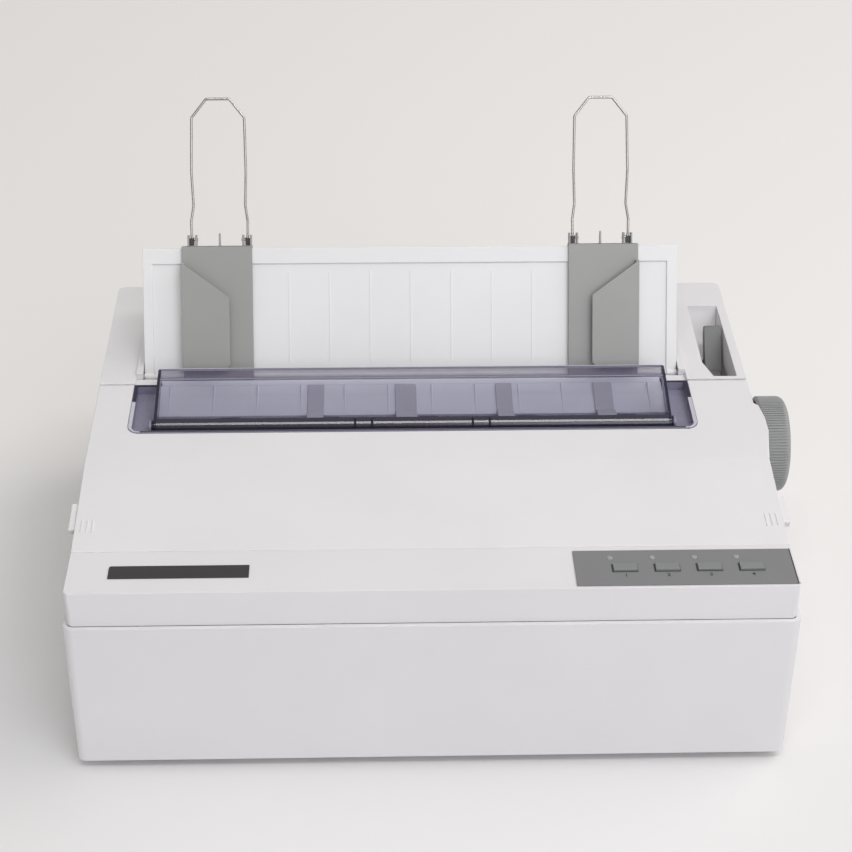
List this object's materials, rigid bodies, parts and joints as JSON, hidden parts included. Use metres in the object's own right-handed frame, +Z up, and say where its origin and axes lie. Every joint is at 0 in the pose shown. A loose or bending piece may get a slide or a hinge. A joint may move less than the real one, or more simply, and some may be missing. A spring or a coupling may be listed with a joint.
{
  "type": "dot matrix printer",
  "caption": "Desktop impact printer in an off-white case with a hinged cover, smoked lid, leaning paper table, sliding sheet guides and a side knob.",
  "frame": {"origin": "middle of the whole footprint, on the desk under the rubber feet", "axes": "+X to the right as seen from the front, +Y to the rear, +Z up"},
  "size_m": [0.4364, 0.3274, 0.2955],
  "materials": {
    "shell_white": "fine moulded texture",
    "table_white": "smooth satin",
    "guide_grey": "satin",
    "panel_grey": "satin film",
    "button_grey": "satin",
    "light_lens": "clear lens",
    "badge_dark": "dark printed plate",
    "smoke": "smoked clear plastic",
    "knob_grey": "satin",
    "steel": "plated steel",
    "wire_steel": "bright steel wire",
    "foot_rubber": "matt",
    "roller_rubber": "ground rubber",
    "belt_rubber": "matt",
    "gear_plastic": "acetal",
    "black_plastic": "fine texture",
    "head_metal": "cast, blackened",
    "board_green": "lacquered board",
    "lever_blue": "satin"
  },
  "bodies": {
    "chassis": {"lower_case": "shell_white", "upper_case": "shell_white", "rubber_feet": "foot_rubber", "case_screws": "steel", "operator_panel": "panel_grey", "status_lights": "light_lens", "name_badge": "badge_dark", "panel_board": "board_green", "base_frame": "steel", "left_side_frame": "steel", "right_side_frame": "steel", "carriage_rod": "steel", "platen_bushes": "gear_plastic", "carriage_motor": "steel", "paper_feed_motor": "steel", "main_board": "board_green", "power_supply": "steel", "mains_inlet": "black_plastic", "parallel_port": "steel", "tractor_rod": "steel", "paper_chute": "black_plastic", "exit_guide": "table_white", "cover_hinge_pins": "steel", "drive_belt": "belt_rubber"},
    "front_cover": {"front_cover": "shell_white", "smoke_tray": "smoke"},
    "smoke_lid": {"smoke_lid": "smoke"},
    "paper_table": {"paper_table": "table_white"},
    "guide_left": {"sheet_guide_left": "guide_grey"},
    "guide_right": {"sheet_guide_right": "guide_grey"},
    "wire_left": {"wire_support_left": "wire_steel"},
    "wire_right": {"wire_support_right": "wire_steel"},
    "platen": {"platen_roller": "roller_rubber", "platen_shaft": "steel", "platen_gear": "gear_plastic", "platen_knob": "knob_grey"},
    "motor_pinion": {"motor_pinion": "gear_plastic"},
    "feed_idler": {"feed_idler": "gear_plastic"},
    "tractor_idler_front": {"tractor_idler_front": "gear_plastic"},
    "tractor_idler_rear": {"tractor_idler_rear": "gear_plastic"},
    "tractor_drive": {"tractor_shaft": "steel", "tractor_gear": "gear_plastic"},
    "tractor_left": {"tractor_left": "black_plastic"},
    "tractor_right": {"tractor_right": "black_plastic"},
    "door_left": {"tractor_door_left": "guide_grey"},
    "door_right": {"tractor_door_right": "guide_grey"},
    "carriage": {"print_carriage": "black_plastic", "print_head": "head_metal", "ribbon_cartridge": "black_plastic"},
    "ribbon_knob": {"ribbon_knob": "guide_grey"},
    "motor_pulley": {"motor_pulley": "gear_plastic"},
    "idler_pulley": {"idler_pulley": "gear_plastic"},
    "exit_rollers": {"exit_rollers": "roller_rubber"},
    "release_lever": {"release_lever": "guide_grey"},
    "gap_lever": {"gap_lever": "lever_blue"},
    "button_1": {"button_1": "button_grey"},
    "button_2": {"button_2": "button_grey"},
    "button_3": {"button_3": "button_grey"},
    "button_4": {"button_4": "button_grey"},
    "power_rocker": {"power_rocker": "black_plastic"}
  },
  "joints": [
    {"name": "cover_hinge", "type": "hinge", "parent": "chassis", "child": "front_cover", "pos_m": [-0.00885, 0.03395, 0.1384], "axis": [-1, 0, 0], "range_deg": [0, 65]},
    {"name": "lid_hinge", "type": "hinge", "parent": "front_cover", "child": "smoke_lid", "pos_m": [-0.00885, -0.00475, 0.1355], "axis": [1, 0, 0], "range_deg": [0, 110]},
    {"name": "table_fold", "type": "hinge", "parent": "chassis", "child": "paper_table", "pos_m": [-0.00885, 0.05385, 0.1365], "axis": [-1, 0, 0], "range_deg": [0, 50]},
    {"name": "guide_left_slide", "type": "slide", "parent": "paper_table", "child": "guide_left", "axis": [1, 0, 0], "range_m": [-0.018, 0.085]},
    {"name": "guide_right_slide", "type": "slide", "parent": "paper_table", "child": "guide_right", "axis": [1, 0, 0], "range_m": [-0.085, 0.018]},
    {"name": "wire_left_fold", "type": "hinge", "parent": "guide_left", "child": "wire_left", "pos_m": [-0.00885, 0.09107, 0.21531], "axis": [-1, 0, 0], "range_deg": [0, 100]},
    {"name": "wire_right_fold", "type": "hinge", "parent": "guide_right", "child": "wire_right", "pos_m": [-0.00885, 0.09107, 0.21531], "axis": [-1, 0, 0], "range_deg": [0, 100]},
    {"name": "platen_spin", "type": "hinge", "parent": "chassis", "child": "platen", "pos_m": [-0.00885, 0.01225, 0.108], "axis": [1, 0, 0], "continuous": true},
    {"name": "feed_idler_spin", "type": "hinge", "parent": "chassis", "child": "feed_idler", "pos_m": [-0.00885, -0.01108, 0.08467], "axis": [1, 0, 0], "continuous": true},
    {"name": "motor_pinion_spin", "type": "hinge", "parent": "chassis", "child": "motor_pinion", "pos_m": [-0.00885, -0.01108, 0.06366], "axis": [1, 0, 0], "continuous": true},
    {"name": "tractor_idler_front_spin", "type": "hinge", "parent": "chassis", "child": "tractor_idler_front", "pos_m": [-0.00885, 0.04421, 0.10633], "axis": [1, 0, 0], "continuous": true},
    {"name": "tractor_idler_rear_spin", "type": "hinge", "parent": "chassis", "child": "tractor_idler_rear", "pos_m": [-0.00885, 0.07217, 0.10486], "axis": [1, 0, 0], "continuous": true},
    {"name": "tractor_drive_spin", "type": "hinge", "parent": "chassis", "child": "tractor_drive", "pos_m": [-0.00885, 0.09813, 0.1035], "axis": [1, 0, 0], "continuous": true},
    {"name": "tractor_left_slide", "type": "slide", "parent": "chassis", "child": "tractor_left", "axis": [1, 0, 0], "range_m": [-0.03, 0.06]},
    {"name": "tractor_right_slide", "type": "slide", "parent": "chassis", "child": "tractor_right", "axis": [1, 0, 0], "range_m": [-0.06, 0.03]},
    {"name": "door_left_hinge", "type": "hinge", "parent": "tractor_left", "child": "door_left", "pos_m": [-0.00885, 0.13713, 0.1167], "axis": [1, 0, 0], "range_deg": [-95, 0]},
    {"name": "door_right_hinge", "type": "hinge", "parent": "tractor_right", "child": "door_right", "pos_m": [-0.00885, 0.13713, 0.1167], "axis": [1, 0, 0], "range_deg": [-95, 0]},
    {"name": "carriage_slide", "type": "slide", "parent": "chassis", "child": "carriage", "axis": [1, 0, 0], "range_m": [-0.105, 0.105]},
    {"name": "ribbon_knob_spin", "type": "hinge", "parent": "carriage", "child": "ribbon_knob", "pos_m": [-0.05085, -0.0885, 0.11], "axis": [0, 0, 1], "continuous": true},
    {"name": "motor_pulley_spin", "type": "hinge", "parent": "chassis", "child": "motor_pulley", "pos_m": [-0.16285, -0.05175, 0.062], "axis": [0, 0, 1], "range_deg": [-800, 800]},
    {"name": "idler_pulley_spin", "type": "hinge", "parent": "chassis", "child": "idler_pulley", "pos_m": [0.13715, -0.05175, 0.062], "axis": [0, 0, 1], "range_deg": [-800, 800]},
    {"name": "exit_rollers_spin", "type": "hinge", "parent": "chassis", "child": "exit_rollers", "pos_m": [-0.00885, 0.01025, 0.1281], "axis": [1, 0, 0], "continuous": true},
    {"name": "release_lever_swing", "type": "hinge", "parent": "chassis", "child": "release_lever", "pos_m": [-0.00885, 0.07225, 0.1], "axis": [1, 0, 0], "range_deg": [0, 50]},
    {"name": "gap_lever_swing", "type": "hinge", "parent": "chassis", "child": "gap_lever", "pos_m": [-0.00885, -0.05375, 0.096], "axis": [1, 0, 0], "range_deg": [-20, 15]},
    {"name": "button_1_press", "type": "slide", "parent": "chassis", "child": "button_1", "axis": [0, 0, -1], "range_m": [0, 0.0008], "stiffness_N_per_m": 350, "springref_m": -0.0004},
    {"name": "button_2_press", "type": "slide", "parent": "chassis", "child": "button_2", "axis": [0, 0, -1], "range_m": [0, 0.0008], "stiffness_N_per_m": 350, "springref_m": -0.0004},
    {"name": "button_3_press", "type": "slide", "parent": "chassis", "child": "button_3", "axis": [0, 0, -1], "range_m": [0, 0.0008], "stiffness_N_per_m": 350, "springref_m": -0.0004},
    {"name": "button_4_press", "type": "slide", "parent": "chassis", "child": "button_4", "axis": [0, 0, -1], "range_m": [0, 0.0008], "stiffness_N_per_m": 350, "springref_m": -0.0004},
    {"name": "power_rocker_tilt", "type": "hinge", "parent": "chassis", "child": "power_rocker", "pos_m": [-0.00885, 0.15725, 0.042], "axis": [1, 0, 0], "range_deg": [0, 12]}
  ],
  "couplings": [
    {"joint": "feed_idler_spin", "follows": "platen_spin", "ratio": -1.2},
    {"joint": "motor_pinion_spin", "follows": "platen_spin", "ratio": 3},
    {"joint": "tractor_idler_front_spin", "follows": "platen_spin", "ratio": -1.2857},
    {"joint": "tractor_idler_rear_spin", "follows": "platen_spin", "ratio": 1.2857},
    {"joint": "tractor_drive_spin", "follows": "platen_spin", "ratio": -1.5},
    {"joint": "motor_pulley_spin", "follows": "carriage_slide", "rad_per_m": -125},
    {"joint": "idler_pulley_spin", "follows": "carriage_slide", "rad_per_m": -125}
  ]
}
